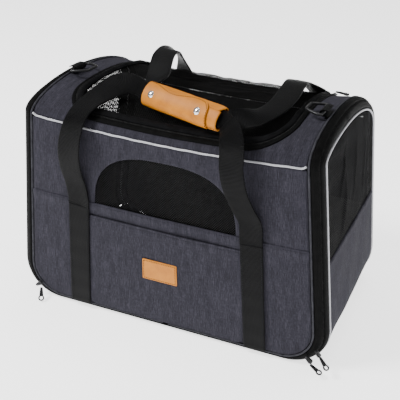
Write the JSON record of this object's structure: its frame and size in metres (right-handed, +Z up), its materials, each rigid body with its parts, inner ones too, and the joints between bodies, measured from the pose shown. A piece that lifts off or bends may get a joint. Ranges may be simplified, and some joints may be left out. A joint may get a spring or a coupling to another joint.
{
  "type": "soft-sided pet carrier",
  "caption": "Arched fabric carrier for a cat or small dog, with zipped mesh doors at the ends and top and two webbing handles joined by a leather wrap.",
  "frame": {"origin": "centre of the base's flat underside", "axes": "+X along the length to the right door, -Y the front with the pocket and window, +Z up"},
  "size_m": [0.4388, 0.2922, 0.3209],
  "materials": {
    "heather": "heathered polyester, charcoal navy, matt",
    "black_fabric": "plain woven nylon, black, matt",
    "zip": "black zip tape, matt",
    "webbing": "black woven webbing, slight sheen",
    "mesh": "black open mesh",
    "piping": "silver reflective piping",
    "cord": "dark grey edge cord",
    "leather": "tan, smooth, satin",
    "fleece": "grey fleece",
    "board": "black stiff board",
    "chrome": "polished",
    "steel": "spring wire",
    "black_metal": "black, satin"
  },
  "bodies": {
    "carrier_body": {"base_panel": "black_fabric", "front_base_binding": "black_fabric", "rear_base_binding": "black_fabric", "base_board": "board", "floor_mat": "fleece", "front_panel": "heather", "back_panel": "heather", "front_window_mesh": "mesh", "front_pocket": "heather", "leather_patch": "leather", "front_left_strap": "webbing", "front_right_strap": "webbing", "rear_left_strap": "webbing", "rear_right_strap": "webbing", "top_border": "heather", "top_zip_tape": "zip", "front_top_piping": "piping", "rear_top_piping": "piping", "top_zip_slider": "black_metal", "left_zip_slider": "black_metal", "right_zip_slider": "black_metal", "right_zip_slider_low": "black_metal", "left_zip_tape": "zip", "left_frame_hoop": "steel", "left_edge_cord": "cord", "left_d_ring_tab": "webbing", "right_zip_tape": "zip", "right_frame_hoop": "steel", "right_edge_cord": "cord", "right_d_ring_tab": "webbing"},
    "left_door": {"left_door_panel": "heather", "left_door_mesh": "mesh", "left_door_zip_tape": "zip", "left_door_piping": "piping"},
    "right_door": {"right_door_panel": "heather", "right_door_mesh": "mesh", "right_door_zip_tape": "zip", "right_door_piping": "piping"},
    "top_door": {"top_door_mesh": "mesh", "top_door_binding": "zip"},
    "front_handle": {"front_handle_webbing": "webbing", "handle_wrap_flap": "leather", "left_snap_cap": "chrome", "right_snap_cap": "chrome"},
    "rear_handle": {"rear_handle_webbing": "webbing", "handle_wrap_back": "leather"},
    "left_d_ring_body": {"left_d_ring": "black_metal"},
    "right_d_ring_body": {"right_d_ring": "black_metal"},
    "left_zip_pull_body": {"left_zip_pull": "black_metal"},
    "right_zip_pull_body": {"right_zip_pull": "black_metal"},
    "right_zip_pull_low_body": {"right_zip_pull_low": "black_metal"},
    "top_zip_pull_body": {"top_zip_pull": "black_metal"}
  },
  "joints": [
    {"name": "left_door_hinge", "type": "hinge", "parent": "carrier_body", "child": "left_door", "pos_m": [-0.20497, 0, 0.01965], "axis": [0, -1, 0], "range_deg": [0, 90]},
    {"name": "right_door_hinge", "type": "hinge", "parent": "carrier_body", "child": "right_door", "pos_m": [0.20497, 0, 0.01965], "axis": [0, 1, 0], "range_deg": [0, 90]},
    {"name": "top_door_hinge", "type": "hinge", "parent": "carrier_body", "child": "top_door", "pos_m": [0, 0.119, 0.285], "axis": [-1, 0, 0], "range_deg": [0, 65]},
    {"name": "front_handle_swing", "type": "hinge", "parent": "carrier_body", "child": "front_handle", "pos_m": [0, -0.1312, 0.1675], "axis": [1, 0, 0], "range_deg": [0, 162.5]},
    {"name": "rear_handle_swing", "type": "hinge", "parent": "carrier_body", "child": "rear_handle", "pos_m": [0, 0.1312, 0.1675], "axis": [-1, 0, 0], "range_deg": [0, 162.5]},
    {"name": "left_d_ring_hinge", "type": "hinge", "parent": "carrier_body", "child": "left_d_ring_body", "pos_m": [-0.1635, -0.04, 0.3018], "axis": [0, -1, 0], "range_deg": [0, 145]},
    {"name": "right_d_ring_hinge", "type": "hinge", "parent": "carrier_body", "child": "right_d_ring_body", "pos_m": [0.1635, -0.04, 0.3018], "axis": [0, 1, 0], "range_deg": [0, 145]},
    {"name": "left_zip_pull_hinge", "type": "hinge", "parent": "carrier_body", "child": "left_zip_pull_body", "pos_m": [-0.185, -0.1315, 0.015], "axis": [-0.8829, -0.4695, 0], "range_deg": [0, 80]},
    {"name": "right_zip_pull_hinge", "type": "hinge", "parent": "carrier_body", "child": "right_zip_pull_body", "pos_m": [0.2092, -0.1268, 0.0218], "axis": [-0.5878, -0.809, 0], "range_deg": [0, 80]},
    {"name": "right_zip_pull_low_hinge", "type": "hinge", "parent": "carrier_body", "child": "right_zip_pull_low_body", "pos_m": [0.1995, -0.1318, 0.0112], "axis": [-0.4226, -0.9063, 0], "range_deg": [0, 80]},
    {"name": "top_zip_pull_hinge", "type": "hinge", "parent": "carrier_body", "child": "top_zip_pull_body", "pos_m": [0.137, 0.1115, 0.2735], "axis": [0, -1, 0], "range_deg": [0, 70]}
  ],
  "couplings": [
    {"joint": "front_handle_swing", "follows": "top_door_hinge", "ratio": 2.5},
    {"joint": "rear_handle_swing", "follows": "top_door_hinge", "ratio": 2.5}
  ]
}
